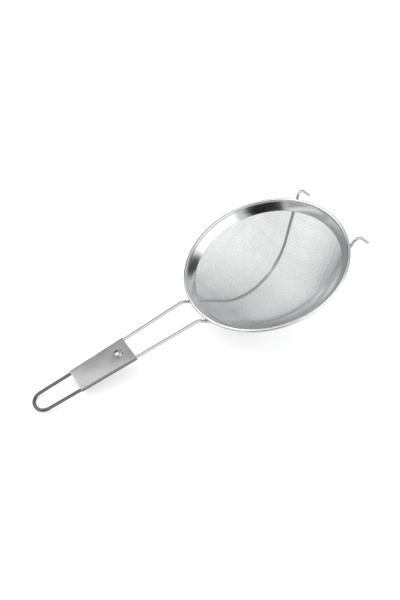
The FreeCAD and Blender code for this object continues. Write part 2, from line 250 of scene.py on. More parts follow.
def rim_placement():
    """From the rim's own frame (its centre, +Z up its axis, handle to -X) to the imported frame."""
    rest = next(m for m in frame["record"]["mounts"] if m["name"] == "cup_rest")
    tip = math.atan2(rest["axis"][0], -rest["axis"][2])
    return Matrix.Translation(rest["pos_m"]) @ Matrix.Rotation(-tip, 4, "Y")


def grip_placement(wire, grip):
    """From the sleeve's own frame (bowl end, +X back towards the bowl) to the rim's frame."""
    top, start = Vector(wire.leg_top), Vector(wire.loop_start)
    slope = math.atan2(start.z - top.z, top.x - start.x)
    along, up = grip.grip_start * math.cos(slope), grip.grip_start * math.sin(slope)
    return Matrix.Translation((top.x - along, 0, top.z + up)) @ Matrix.Rotation(slope, 4, "Y")


def link_object(name, mesh):
    """A new object in the scene that holds the mesh."""
    piece = bpy.data.objects.new(name, mesh)
    bpy.context.scene.collection.objects.link(piece)
    return piece


def plain_mesh(piece):
    """Turns what the modifiers make into the object's own mesh."""
    graph = bpy.context.evaluated_depsgraph_get()
    mesh = bpy.data.meshes.new_from_object(
        piece.evaluated_get(graph), preserve_all_data_layers=True, depsgraph=graph
    )
    piece.modifiers.clear()
    piece.data = mesh
    mesh.name = piece.name
    return piece


def grid_mesh(name, points, coordinates, wrap):
    """A mesh over a grid of points, either of whose directions may wrap.

    The coordinates become its UV map, in millimetres.
    """
    rows, columns = points.shape[:2]
    steps = columns if wrap[1] else columns - 1
    i, j = np.meshgrid(np.arange(rows if wrap[0] else rows - 1), np.arange(steps), indexing="ij")
    i, j = i.ravel(), j.ravel()
    corners = [(i, j), (i + 1, j), (i + 1, j + 1), (i, j + 1)]
    faces = np.stack([(a % rows) * columns + b % columns for a, b in corners], axis=1)
    mesh = bpy.data.meshes.new(name)
    mesh.from_pydata(points.reshape(-1, 3).tolist(), [], faces.tolist())
    along, across = coordinates
    layer = mesh.uv_layers.new(name="UVMap")
    uv = np.stack([np.stack([along[a], across[b]], axis=1) for a, b in corners], axis=1)
    layer.data.foreach_set("uv", uv.astype(np.float32).ravel())
    return mesh


def outward_and_smooth(mesh):
    """Merges doubles, turns every face outwards and shades the mesh smooth."""
    work = bmesh.new()
    work.from_mesh(mesh)
    bmesh.ops.remove_doubles(work, verts=work.verts, dist=1e-7)
    bmesh.ops.recalc_face_normals(work, faces=work.faces)
    work.to_mesh(mesh)
    work.free()
    mesh.polygons.foreach_set("use_smooth", [True] * len(mesh.polygons))
    mesh.update()
    return mesh


def arc(centre, radius, start, end, steps):
    """Points of a circle's arc, as pairs, both ends included."""
    angles = np.linspace(start, end, steps)
    return [(centre[0] + radius * math.cos(a), centre[1] + radius * math.sin(a)) for a in angles]


def turned_mesh(name, profile, segments):
    """A profile of (radius, height) pairs turned about Z, closed at both poles."""
    profile = np.array(profile)
    angles = np.linspace(0, 2 * math.pi, segments, endpoint=False)
    points = np.empty((segments, len(profile), 3))
    points[..., 0] = np.cos(angles)[:, None] * profile[:, 0]
    points[..., 1] = np.sin(angles)[:, None] * profile[:, 0]
    points[..., 2] = profile[:, 1]
    steps = np.concatenate([[0], np.cumsum(np.hypot(*np.diff(profile, axis=0).T))]) / MM
    around = np.linspace(0, 2 * math.pi * profile[:, 0].max() / MM, segments + 1)
    return grid_mesh(name, points, (around, steps), (True, False))


def finish_piece(piece, node, material, tolerance):
    """Puts a piece in place of a CAD node, on the only body, after checking that their boxes agree."""
    if not piece.data.materials:
        piece.data.materials.append(material)
    lo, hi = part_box(node)
    corners = [v.co for v in piece.data.vertices]
    for k in range(3):
        ends = min(c[k] for c in corners), max(c[k] for c in corners)
        if abs(ends[0] - lo[k]) > tolerance or abs(ends[1] - hi[k]) > tolerance:
            raise RuntimeError(
                f"{piece.name} leaves the box of {node} along axis {k}: {ends} {lo[k], hi[k]}"
            )
    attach(piece, "root")
    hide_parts(node)


# ---------------------------------------------------------------- node helpers
def maths(tree, operation, *values):
    """The result of a math node."""
    return add_node(tree, "ShaderNodeMath", dict(enumerate(values)), operation=operation).outputs[0]


def scaled(tree, vector, factor):
    """A vector times a number."""
    values = {0: vector, "Scale": factor}
    return add_node(tree, "ShaderNodeVectorMath", values, operation="SCALE").outputs[0]


def noise(tree, where, scale, detail, roughness=0.5):
    """The value of a noise texture."""
    values = {"Vector": where, "Scale": scale, "Detail": detail, "Roughness": roughness}
    return add_node(tree, "ShaderNodeTexNoise", values).outputs[0]


def spread(tree, value, ends, low=0.0, high=1.0, kind="LINEAR"):
    """A value taken from one range to another."""
    values = {"Value": value, "From Min": ends[0], "From Max": ends[1], "To Min": low, "To Max": high}
    return add_node(tree, "ShaderNodeMapRange", values, interpolation_type=kind).outputs[0]


def patchy(tree, where, scale, low, high, detail=3.0):
    """A slow random change between two values, for handling marks and uneven polish."""
    return spread(tree, noise(tree, where, scale, detail, 0.55), MOST_NOISE, low, high)


def grain_lines(tree, steps_per_mm, detail, roughness):
    """Noise drawn out along the first direction of the UV map, which is in millimetres."""
    grid = add_node(tree, "ShaderNodeUVMap", uv_map="UVMap").outputs[0]
    drawn = add_node(tree, "ShaderNodeMapping", {"Vector": grid, "Scale": (*steps_per_mm, 1.0)})
    return noise(tree, drawn.outputs[0], 1.0, detail, roughness)


def attribute(tree, name):
    """The outputs of a node that reads a point attribute of the mesh."""
    settings = {"attribute_name": name, "attribute_type": "GEOMETRY"}
    return add_node(tree, "ShaderNodeAttribute", **settings).outputs


def blend_colours(tree, shader, share, first, second):
    """Makes the base colour a blend of two colours."""
    values = {"Factor": share, 6: first, 7: second}
    blend = add_node(tree, "ShaderNodeMix", values, data_type="RGBA")
    tree.links.new(blend.outputs[2], shader.inputs["Base Color"])


def roughen(tree, shader, height, strength, millimetres):
    """Bends the surface's normals by a height."""
    values = {"Height": height, "Strength": strength, "Distance": millimetres * MM}
    tree.links.new(add_node(tree, "ShaderNodeBump", values).outputs[0], shader.inputs["Normal"])


# ---------------------------------------------------------------- finishes
def new_metal(name, colour, roughness):
    """A bare metal, with its constant values on the shader's own sockets, and its coordinates."""
    material = bpy.data.materials.new(name)
    material.use_nodes = True
    tree = material.node_tree
    tree.nodes.clear()
    values = {"Base Color": linear(colour), "Metallic": 1.0, "Roughness": roughness}
    shader = add_node(tree, "ShaderNodeBsdfPrincipled", values)
    add_node(tree, "ShaderNodeOutputMaterial", {"Surface": shader.outputs[0]})
    material.diffuse_color = linear(colour)
    place = add_node(tree, "ShaderNodeTexCoord").outputs["Object"]
    return material, tree, shader, place


def polished_strip(colours):
    """Stainless strip, roll formed and buffed along its length.

    Buffing leaves near-mirror metal with hairlines round the rim, so reflections are
    sharp across the flange and a little drawn out along it; fingers dull it in patches.
    """
    material, tree, shader, place = new_metal("buffed_stainless_strip", colours.strip, 0.12)
    # hairlines about 0.1 mm apart and some 15 mm long, drawn wider than the real ones so they show
    hair = grain_lines(tree, (0.06, 9.0), 4.0, 0.6)
    grain = spread(tree, hair, (0.3, 0.7), -0.03, 0.04)
    worn = patchy(tree, place, 70.0, 0.07, 0.17)
    tree.links.new(maths(tree, "ADD", worn, grain), shader.inputs["Roughness"])
    roughen(tree, shader, hair, 0.10, 0.02)
    return material


def drawn_wire(colours):
    """Stainless spring wire, drawn bright through a die.

    The die leaves fine straight lines along the wire, which smear a highlight along its
    length; bending and welding leave slightly duller stretches.
    """
    material, tree, shader, place = new_metal("bright_drawn_stainless_wire", colours.wire, 0.14)
    tree.links.new(patchy(tree, place, 120.0, 0.10, 0.20), shader.inputs["Roughness"])
    # die lines about 0.15 mm apart round the wire and 40 mm long
    spun = scaled(tree, attribute(tree, "around")["Vector"], 5.5)
    run = maths(tree, "MULTIPLY", attribute(tree, "along")["Fac"], 25.0)
    axis = add_node(tree, "ShaderNodeCombineXYZ", {"Z": run}).outputs[0]
    where = add_node(tree, "ShaderNodeVectorMath", {0: spun, 1: axis}, operation="ADD").outputs[0]
    roughen(tree, shader, noise(tree, where, 1.0, 3.0), 0.12, 0.03)
    # painted shade: the loop is painted a darker grey in its base colour, standing in for the dark that it
    # reflects
    along_x = add_node(tree, "ShaderNodeSeparateXYZ", {"Vector": place}).outputs["X"]
    loop_shade = spread(tree, along_x, (LOOP_SHADE_STARTS, LOOP_SHADE_FULL), kind="SMOOTHSTEP")
    blend_colours(tree, shader, loop_shade, linear(colours.wire), linear(colours.loop_painted_shade))
    return material


def wire_cloth(colours):
    """Stainless wire cloth, plain woven and pressed into a bowl.

    Each wire is bright, but the loom and the press rub it, so crossings glint
    unevenly and the cloth as a whole reads as a soft pale grey.
    """
    material, tree, shader, place = new_metal("woven_stainless_wire", colours.cloth, 0.28)
    tree.links.new(patchy(tree, place, 60.0, 0.30, 0.36), shader.inputs["Roughness"])
    # single wires differ a little over a few millimetres
    shade = patchy(tree, place, 420.0, 0.0, 1.0, detail=2.0)
    base = linear(colours.cloth)[:3]
    ends = [tuple(min(1.0, c * by) for c in base) + (1.0,) for by in (0.97, 1.03)]
    blend_colours(tree, shader, shade, *ends)
    return material


def satin_sheet(colours):
    """Stainless sheet with a rolled satin face, folded in a press.

    The rolled grain runs along the handle and breaks reflections into a soft, slightly
    cloudy grey; the folds are painted darker, as painted shade.
    """
    material, tree, shader, place = new_metal("satin_rolled_stainless_sheet", colours.sheet, 0.36)
    tree.links.new(patchy(tree, place, 150.0, 0.22, 0.32), shader.inputs["Roughness"])
    # grain about 0.12 mm wide and 6 mm long, a little coarser than a real satin face
    grain = grain_lines(tree, (0.16, 8.0), 5.0, 0.65)
    pits = noise(tree, place, 900.0, 4.0, 0.6)
    roughen(tree, shader, maths(tree, "ADD", grain, pits), 0.15, 0.04)
    # the press stretched the face over the folds and left it darker
    # painted shade: the folds are painted darker in the base colour, standing in for the shade along the
    # bends
    folded = spread(tree, attribute(tree, "fold")["Fac"], (0.4, 0.9), kind="SMOOTHSTEP")
    blend_colours(tree, shader, folded, linear(colours.sheet), linear(colours.sheet_fold_painted_shade))
    return material


def headed_rivet(colours):
    """Stainless rivet, cold headed and barrel polished.

    The die gives a smooth dome that mirrors the whole studio in miniature, with a few
    soft dents from tumbling.
    """
    material, tree, shader, place = new_metal("tumbled_stainless_rivet", colours.rivet, 0.10)
    tree.links.new(patchy(tree, place, 500.0, 0.08, 0.16), shader.inputs["Roughness"])
    roughen(tree, shader, noise(tree, place, 700.0, 1.0), 0.10, 0.06)
    return material


def weld_metal(colours):
    """Resistance weld nugget, left as welded.

    Metal that was squeezed out hot: dull, lumpy, and darkened by its oxide.
    """
    material, tree, shader, place = new_metal("oxidised_weld_metal", colours.weld, 0.45)
    tree.links.new(patchy(tree, place, 900.0, 0.35, 0.6), shader.inputs["Roughness"])
    # crust with lumps about 0.4 mm across
    roughen(tree, shader, noise(tree, place, 2500.0, 5.0, 0.6), 0.5, 0.1)
    return material


def hoop_metal(colours):
    """Plain drawn steel wire, closed inside the bead where nothing polishes it."""
    material, tree, shader, place = new_metal("plain_drawn_hoop_wire", colours.hoop, 0.4)
    tree.links.new(patchy(tree, place, 300.0, 0.32, 0.5), shader.inputs["Roughness"])
    return material


# ---------------------------------------------------------------- shapes
def bowl_shape(rim, cloth):
    """The middle of the cloth in section: round bottom, slightly bowed wall, straight flange."""
    bead = rim.hoop_diameter / 2 + rim.strip_thickness
    centre = rim.rim_radius - bead
    flange_r = centre - rim.flange_length * math.cos(rim.wall_angle)
    flange_z = -rim.flange_length * math.sin(rim.wall_angle)
    wall = (flange_r - cloth.bottom_radius * math.sin(cloth.bottom_angle)) / (
        math.sin(rim.wall_angle) - math.sin(cloth.bottom_angle)
    )
    bottom_z = (
        flange_z
        + wall * (math.cos(rim.wall_angle) - math.cos(cloth.bottom_angle))
        + cloth.bottom_radius * math.cos(cloth.bottom_angle)
    )
    return {
        "bead": bead,
        "centre": centre,
        "flange": (flange_r, flange_z),
        "wall": wall,
        "wall_centre": (
            flange_r - wall * math.sin(rim.wall_angle),
            flange_z + wall * math.cos(rim.wall_angle),
        ),
        "bottom": cloth.bottom_radius,
        "bottom_z": bottom_z,
        "bottom_r": cloth.bottom_radius * math.sin(cloth.bottom_angle),
        "slope": math.tan(rim.wall_angle),
        "edge": centre - cloth.edge_depth * math.cos(rim.wall_angle),
    }


def bowl_height(shape, radius):
    """Height and steepness of the cloth at a distance from the axis."""
    on_bottom = np.sqrt(np.maximum(shape["bottom"] ** 2 - radius**2, 1e-12))
    reach = radius - shape["wall_centre"][0]
    on_wall = np.sqrt(np.maximum(shape["wall"] ** 2 - reach**2, 1e-12))
    low, high = radius < shape["bottom_r"], radius > shape["flange"][0]
    height = np.where(low, shape["bottom_z"] - on_bottom, shape["wall_centre"][1] - on_wall)
    height = np.where(high, shape["flange"][1] + shape["slope"] * (radius - shape["flange"][0]), height)
    steepness = np.where(low, radius / on_bottom, reach / on_wall)
    return height, np.where(high, shape["slope"], steepness)


def quarter_of_cloth(shape, pitch):
    """Crossings of a quarter of the cloth.

    The threads keep their pitch as the cloth is pressed, so every mesh keeps four equal sides.
    """
    radius = np.linspace(0, shape["centre"] + 2 * pitch, PROFILE_SAMPLES)
    height = bowl_height(shape, radius)[0]
    run = np.concatenate([[0], np.cumsum(np.hypot(np.diff(radius), np.diff(height)))])
    count = int(run[-1] / pitch) + 1
    along = np.interp(np.arange(count) * pitch, run, radius)
    net = np.full((count, count, 3), np.nan)
    net[:, 0] = np.stack([along, 0 * along, bowl_height(shape, along)[0]], axis=1)
    net[0, :] = np.stack([0 * along, along, bowl_height(shape, along)[0]], axis=1)
    for total in range(2, 2 * count - 1):
        i = np.arange(max(1, total - count + 1), min(count, total))
        j = total - i
        a, b = net[i - 1, j], net[i, j - 1]
        spot = (a + b - net[i - 1, j - 1])[:, :2]
        known = ~np.isnan(spot[:, 0])
        if not known.any():
            continue
        i, j, a, b, spot = i[known], j[known], a[known], b[known], spot[known]
        for _ in range(NEWTON_STEPS):
            far = np.maximum(np.hypot(spot[:, 0], spot[:, 1]), 1e-9)
            level, steep = bowl_height(shape, far)
            point = np.column_stack([spot, level])
            one, two = point - a, point - b
            zx, zy = steep * spot[:, 0] / far, steep * spot[:, 1] / far
            f, g = (one**2).sum(1) - pitch**2, (two**2).sum(1) - pitch**2
            fx, fy = 2 * (one[:, 0] + one[:, 2] * zx), 2 * (one[:, 1] + one[:, 2] * zy)
            gx, gy = 2 * (two[:, 0] + two[:, 2] * zx), 2 * (two[:, 1] + two[:, 2] * zy)
            below = fx * gy - fy * gx
            spot = spot - np.column_stack([(f * gy - g * fy) / below, (g * fx - f * gx) / below])
        far = np.hypot(spot[:, 0], spot[:, 1])
        found = np.column_stack([spot, bowl_height(shape, far)[0]])
        found[far > shape["centre"] + pitch] = np.nan
        net[i, j] = found
    return net


def cloth_wires(shape, cloth, family):
    """One family of wires as polylines.

    Gives points, over-or-under, the way out of the cloth, and which points are joined.
    """
    net = quarter_of_cloth(shape, cloth.pitch)
    if family:
        net = net.transpose(1, 0, 2)[..., [1, 0, 2]]
    reach = len(net) - 1
    points, lifts, edges = [], [], []
    for row in range(-reach, reach + 1):
        line = net[:, abs(row)].copy()
        line[:, 1] *= -1 if row < 0 else 1
        far = np.hypot(line[:, 0], line[:, 1])
        inside = int(np.argmax(~(far < shape["edge"])))
        if inside < 2:
            continue
        share = (shape["edge"] - far[inside - 1]) / (far[inside] - far[inside - 1])
        if np.isnan(share):
            continue
        half = np.vstack([line[:inside], line[inside - 1] + share * (line[inside] - line[inside - 1])])
        sign = (-1.0) ** (np.arange(inside) + row + family)
        lift = np.append(sign, sign[-1] * (1 - 2 * share) * (1 - share))
        left = half[:0:-1] * [-1, 1, 1]
        start = len(points)
        points.extend(np.vstack([left, half]).tolist())
        lifts.extend(np.concatenate([lift[:0:-1], lift]).tolist())
        edges.extend((k, k + 1) for k in range(start, len(points) - 1))
    points = np.array(points)
    if family:
        points = points[:, [1, 0, 2]]
    far = np.maximum(np.hypot(points[:, 0], points[:, 1]), 1e-9)
    steep = bowl_height(shape, far)[1]
    out = np.column_stack([-steep * points[:, 0] / far, -steep * points[:, 1] / far, np.ones(len(far))])
    return points, np.array(lifts), out / np.linalg.norm(out, axis=1)[:, None], edges


def guide_object(name, points, edges, floats, vectors):
    """A mesh of bare edges that a node tree turns into wires."""
    mesh = bpy.data.meshes.new(name)
    mesh.from_pydata([tuple(p) for p in points], edges, [])
    for key, values in floats.items():
        mesh.attributes.new(key, "FLOAT", "POINT").data.foreach_set("value", np.asarray(values, np.float32))
    for key, values in vectors.items():
        mesh.attributes.new(key, "FLOAT_VECTOR", "POINT").data.foreach_set(
            "vector", np.asarray(values, np.float32).ravel()
        )
    return link_object(name, mesh)


def new_tree(name, sockets):
    """An empty geometry tree with its named inputs."""
    tree = bpy.data.node_groups.new(name, "GeometryNodeTree")
    tree.interface.new_socket("Geometry", in_out="INPUT", socket_type="NodeSocketGeometry")
    tree.interface.new_socket("Geometry", in_out="OUTPUT", socket_type="NodeSocketGeometry")
    for label, kind, default in sockets:
        socket = tree.interface.new_socket(label, in_out="INPUT", socket_type=kind)
        if default is not None:
            socket.default_value = default
    return tree


def run_tree(piece, tree, values):
    """Runs a tree on the object with its inputs set, and keeps the result as a plain mesh."""
    modifier = piece.modifiers.new(tree.name, "NODES")
    modifier.node_group = tree
    for item in tree.interface.items_tree:
        if item.in_out == "INPUT" and item.name in values:
            modifier[item.identifier] = values[item.name]
    return plain_mesh(piece)


def named(tree, name, kind):
    """A point attribute of the guide, as a field."""
    node = add_node(tree, "GeometryNodeInputNamedAttribute", {"Name": name}, data_type=kind)
    return node.outputs["Attribute"]


def stored(tree, geometry, name, kind, value):
    """The geometry with a value kept on its points."""
    values = {"Geometry": geometry, "Name": name, "Value": value}
    settings = {"data_type": kind, "domain": "POINT"}
    return add_node(tree, "GeometryNodeStoreNamedAttribute", values, **settings).outputs[0]


def section_ring(tree, given):
    """The round section of a wire."""
    radius = maths(tree, "MULTIPLY", given.outputs["Wire diameter"], 0.5)
    values = {"Resolution": given.outputs["Sides"], "Radius": radius}
    return add_node(tree, "GeometryNodeCurvePrimitiveCircle", values).outputs[0]


def end_tree(tree, given, line, ring):
    """Sweeps the section along the line; smooth faces, real geometry, the finish and the way out."""
    values = {"Curve": line, "Profile Curve": ring, "Fill Caps": True}
    tube = add_node(tree, "GeometryNodeCurveToMesh", values).outputs[0]
    smooth = add_node(tree, "GeometryNodeSetShadeSmooth", {"Geometry": tube}).outputs[0]
    real = add_node(tree, "GeometryNodeRealizeInstances", {"Geometry": smooth}).outputs[0]
    values = {"Geometry": real, "Material": given.outputs["Material"]}
    done = add_node(tree, "GeometryNodeSetMaterial", values).outputs[0]
    add_node(tree, "NodeGroupOutput", {"Geometry": done})
    return tree


def cloth_tree():
    """Guide lines to woven wires: each point goes over or under, then gets its round section."""
    tree = new_tree(
        "Woven wires",
        [
            ("Wire diameter", "NodeSocketFloat", 0.25 * MM),
            ("Crimp", "NodeSocketFloat", 0.125 * MM),
            ("Sides", "NodeSocketInt", 4),
            ("Material", "NodeSocketMaterial", None),
        ],
    )
    given = add_node(tree, "NodeGroupInput")
    height = maths(tree, "MULTIPLY", named(tree, "lift", "FLOAT"), given.outputs["Crimp"])
    offset = scaled(tree, named(tree, "outward", "FLOAT_VECTOR"), height)
    values = {"Geometry": given.outputs["Geometry"], "Offset": offset}
    moved = add_node(tree, "GeometryNodeSetPosition", values).outputs[0]
    line = add_node(tree, "GeometryNodeMeshToCurve", {"Mesh": moved}).outputs[0]
    return end_tree(tree, given, line, section_ring(tree, given))


def wire_tree():
    """Corners to bent wire: a bend at each corner, the section swept along, the cut ends rounded."""
    tree = new_tree(
        "Bent wire",
        [
            ("Wire diameter", "NodeSocketFloat", 1.9 * MM),
            ("Sides", "NodeSocketInt", WIRE_SIDES),
            ("Material", "NodeSocketMaterial", None),
        ],
    )
    given = add_node(tree, "NodeGroupInput")
    line = add_node(tree, "GeometryNodeMeshToCurve", {"Mesh": given.outputs["Geometry"]}).outputs[0]
    bends = {"Radius": named(tree, "bend", "FLOAT"), "Count": named(tree, "steps", "INT")}
    bent = add_node(tree, "GeometryNodeFilletCurve", {"Curve": line, **bends}, mode="POLY").outputs[0]
    values = {"Curve": bent, "Radius": named(tree, "girth", "FLOAT")}
    sized = add_node(tree, "GeometryNodeSetCurveRadius", values).outputs[0]
    # the finish reads where a point is along the wire and round it
    run = add_node(tree, "GeometryNodeSplineParameter").outputs["Length"]
    line = stored(tree, sized, "along", "FLOAT", run)
    in_mm = scaled(tree, add_node(tree, "GeometryNodeInputPosition").outputs[0], 1 / MM)
    ring = stored(tree, section_ring(tree, given), "around", "FLOAT_VECTOR", in_mm)
    return end_tree(tree, given, line, ring)


def band_outline(rim, cloth, shape):
    """The strip's section as (down the wall from the bead's centre, in towards the bowl) pairs."""
    bead, hoop = shape["bead"], rim.hoop_diameter / 2
    inner = cloth.cloth_thickness / 2
    face = inner + rim.strip_thickness
    soft, blend = rim.edge_rounding, rim.bead_blend
    hollow = math.sqrt((bead + blend) ** 2 - (face + blend) ** 2)
    meet = math.atan2(face + blend, hollow)
    outer_foot, inner_foot = math.asin(face / bead), math.asin(inner / hoop)
    quarter = math.pi / 2
    outline = arc((rim.flange_length - soft, inner + soft), soft, -quarter, 0, 6)
    outline += arc((rim.flange_length - soft, face - soft), soft, 0, quarter, 6)
    outline += [(rim.flange_length * (1 - k / 12) + hollow * k / 12, face) for k in range(1, 12)]
    outline += arc((hollow, face + blend), blend, -quarter, meet - math.pi, 9)
    outline += arc((0, 0), bead, meet, 2 * math.pi - outer_foot, 40)[1:]
    outline += [(rim.lip_length * k / 5 + bead * (1 - k / 5), -face) for k in range(1, 5)]
    outline += arc((rim.lip_length - soft, -face + soft), soft, -quarter, 0, 6)
    outline += arc((rim.lip_length - soft, -inner - soft), soft, 0, quarter, 6)
    outline += arc((0, 0), hoop, 2 * math.pi - inner_foot, inner_foot, 24)
    return outline


def rim_band_mesh(rim, cloth, shape):
    """The outline turned about the axis, with the slight ripple that rolling leaves in the flange."""
    outline = np.array(band_outline(rim, cloth, shape))
    angles = np.linspace(0, 2 * math.pi, rim.segments, endpoint=False)
    down, inward = outline[:, 0][None, :], outline[:, 1][None, :]
    free = np.clip(down / rim.flange_length, 0, 1) ** 1.5
    wave = sum(
        size * np.sin(count * angles + phase)
        for count, size, phase in ((5, 0.5, 0.4), (9, 0.42, 2.1), (16, 0.22, 4.0), (31, 0.08, 1.2))
    )
    share = np.clip((down - shape["bead"]) / (rim.flange_length - shape["bead"]), 0, 1)
    bulge = rim.crown * np.sin(math.pi * share) * (inward > 0)
    inward = inward + rim.ripple * free * wave[:, None] + bulge
    radius = shape["centre"] - down * math.cos(rim.wall_angle) - inward * math.sin(rim.wall_angle)
    height = -down * math.sin(rim.wall_angle) + inward * math.cos(rim.wall_angle)
    points = np.stack(
        [np.cos(angles)[:, None] * radius, np.sin(angles)[:, None] * radius, height + 0 * radius], axis=2
    )
    closed = np.vstack([outline, outline[:1]])
    across = np.concatenate([[0], np.cumsum(np.hypot(*np.diff(closed, axis=0).T))]) / MM
    around = np.linspace(0, 2 * math.pi * rim.rim_radius / MM, rim.segments + 1)
    return grid_mesh("rim_band", points, (around, across), (True, True))


def frame_corners(wire):
    """All the wire's corners from one hook tip to the other, with bend, steps and girth of each."""
    radius, soft = wire.wire_diameter / 2, wire.end_rounding
    tip, top = Vector(wire.hook_tip), Vector(wire.hook_top)
    way = (top - tip).normalized()
    # corner, bend radius, steps round the bend, and girth, which shrinks to round the cut end
    half = []
    for angle in np.linspace(0, math.pi / 2, 5):
        corner = tip + way * soft * (1 - math.cos(angle))
        half.append((corner, 0.0, 1, 1 - soft / radius * (1 - math.sin(angle))))
    half += [
        (top, wire.hook_bend, 28, 1.0),
        (Vector(wire.cradle), wire.cradle_bend, 64, 1.0),
        (Vector(wire.leg_top), wire.leg_bend, 20, 1.0),
        (Vector(wire.loop_start), wire.level_bend, 10, 1.0),
        (Vector(wire.loop_end), wire.loop_bend, 28, 1.0),
    ]
    mirrored = [(Vector((p.x, -p.y, p.z)), *rest) for p, *rest in reversed(half)]
    return half + mirrored


def weld_places(wire, shape):
    """Where the frame wire touches the bead.

    Gives the middle of each contact, the way along the wire and the way off the bead.
    """
    places = []
    for far_corner in (wire.hook_top, wire.leg_top):
        start, end = np.array(wire.cradle), np.array(far_corner)
        share = np.linspace(0, 1, CONTACT_SAMPLES)[:, None]
        run = start + share * (end - start)
        flat = np.hypot(run[:, 0], run[:, 1])
        gap = np.hypot(flat - shape["centre"], run[:, 2])
        on_wire = run[np.argmin(gap)]
        on_bead = np.append(on_wire[:2] / np.hypot(*on_wire[:2]) * shape["centre"], 0.0)
        towards = (on_wire - on_bead) / np.linalg.norm(on_wire - on_bead)
        contact = on_bead + towards * shape["bead"]
        along = (end - start) / np.linalg.norm(end - start)
        for side in (1, -1):
            mirror = np.array([1, side, 1])
            places.append((Vector(contact * mirror), Vector(along * mirror), Vector(towards * mirror)))
    return places


def weld_mesh(wire, shape):
    """Four flattened lumps of squeezed-out metal, each with its own uneven outline."""
    long_way, cross_way, deep_way = 1.05, 0.82, 0.62  # shares of the rough radius
    waist, waist_height = 0.28, 0.35  # how much a lump narrows where it bonds, and over what share
    work = bmesh.new()
    for number, (contact, along, towards) in enumerate(weld_places(wire, shape)):
        side = along.cross(towards).normalized()
        lump = bmesh.ops.create_icosphere(work, subdivisions=4, radius=1.0)["verts"]
        for vert in lump:
            d = vert.co.normalized()
            swell = 1 + 0.10 * math.sin(5 * d.x + number)
            swell += 0.07 * math.sin(7 * d.y + 2 * number) + 0.05 * math.cos(9 * d.z)
            neck = 1 - waist * math.exp(-((d.z / waist_height) ** 2))
            flat = along * d.x * long_way * neck + side * d.y * cross_way * neck
            vert.co = contact + (flat + towards * d.z * deep_way) * (wire.weld_radius * swell)
    mesh = bpy.data.meshes.new("frame_welds")
    work.to_mesh(mesh)
    work.free()
    return mesh


def half_spacing(wire, grip, distance):
    """Half the distance between the two handle wires, that far along the sleeve."""
    top, start = Vector(wire.leg_top), Vector(wire.loop_start)
    run = math.hypot(start.z - top.z, top.x - start.x)
    return top.y + (start.y - top.y) * (grip.grip_start + distance) / run


def sleeve_section(middle, side, grip):
    """Once round the sleeve's middle surface, from one edge of the seam to the other."""
    edge, power = grip.seam / 2, grip.squareness
    under = [(edge + (side - edge) * t, -middle) for t in np.linspace(0, 1, UNDER_STEPS)[:-1]]
    bend = []
    for t in np.linspace(-math.pi / 2, math.pi / 2, FOLD_STEPS):
        height = math.copysign(abs(math.sin(t)) ** power, t)
        bend.append((side + middle * math.cos(t) ** power, middle * height))
    top = [(side * (1 - 2 * t), middle) for t in np.linspace(0, 1, TOP_STEPS)[1:-1]]
    other = [(-y, z) for y, z in reversed(under + bend)]
    return np.array(under + bend + top + other)


def sleeve_mesh(wire, grip):
    """The folded sheet's middle surface, crowned on top and pulled in a little by the rivet."""
    middle = wire.wire_diameter / 2 + grip.clearance + grip.sheet / 2
    distances = np.linspace(0, grip.grip_length, SLEEVE_ROWS)
    sides = np.array([half_spacing(wire, grip, distance) for distance in distances])
    rows = []
    for distance, side in zip(distances, sides):
        section = sleeve_section(middle, side, grip)
        rows.append(np.column_stack([np.full(len(section), -distance), section]))
    around = np.concatenate([[0], np.cumsum(np.hypot(*np.diff(section, axis=0).T))]) / MM
    points = np.array(rows)
    y, z, side = points[..., 1], points[..., 2], sides[:, None]
    flatness = np.clip(1 - (y / side) ** 2, 0, 1)
    length_share = np.clip(1 - (2 * points[..., 0] / grip.grip_length + 1) ** 2, 0, 1)
    on_top = z > middle * 0.999
    from_rivet = np.hypot(points[..., 0] + grip.rivet_position, y)
    dimple = DIMPLE_DEPTH * np.exp(-((from_rivet / DIMPLE_REACH) ** 2))
    points[..., 2] = z + np.where(on_top, grip.crown * flatness * length_share - dimple, 0)
    mesh = grid_mesh("grip_sleeve", points, (distances / MM, around), (False, False))
    # how far into a fold each point lies, 0 on the flats and 1 at the outermost line; the sheet's finish
    # paints shade by it
    fold = np.clip((np.abs(points[..., 1]) - side) / middle, 0, 1)
    mesh.attributes.new("fold", "FLOAT", "POINT").data.foreach_set("value", fold.astype(np.float32).ravel())
    return mesh


def rivet_profile(wire, grip):
    """Domed head, shank and formed tail, in section from the top down."""
    sheet_top = wire.wire_diameter / 2 + grip.clearance + grip.sheet
    profile = []
    for half, tall, sign, steps in (
        (grip.head_diameter / 2, grip.head_height, 1, 22),
        (grip.tail_diameter / 2, grip.tail_height, -1, 14),
    ):
        dome = tall - HEAD_EDGE
        part = []
        for angle in np.linspace(0, math.pi / 2, steps):
            # a little fuller than part of a ball, as a die leaves it
            rise = dome * max(0.0, math.cos(angle)) ** 1.15
            part.append((half * math.sin(angle), sheet_top + HEAD_EDGE + rise))
        part.append((half - HEAD_EDGE * 0.3, sheet_top + HEAD_EDGE * 0.3))
        part.append((half - HEAD_EDGE, sheet_top - HEAD_SINK))
        part.append((grip.shank_diameter / 2, sheet_top - HEAD_SINK))
        part = [(radius, sign * height) for radius, height in part]
        profile += part if sign > 0 else part[::-1]
    return profile


# ---------------------------------------------------------------- operators
class STRAINER_OT_rim_band(bpy.types.Operator):
    """Rolls the rim strip: flange, bead and lip"""

    bl_idname = "strainer.rim_band"
    bl_label = "Rim band"

    def execute(self, context):
        rim, cloth = context.scene.strainer_rim, context.scene.strainer_cloth
        mesh = rim_band_mesh(rim, cloth, bowl_shape(rim, cloth))
        mesh.transform(rim_placement())
        piece = link_object("rolled_rim_band", outward_and_smooth(mesh))
        material = polished_strip(context.scene.strainer_colours)
        finish_piece(piece, "rim_band", material, CLOSE_FIT)
        return {"FINISHED"}


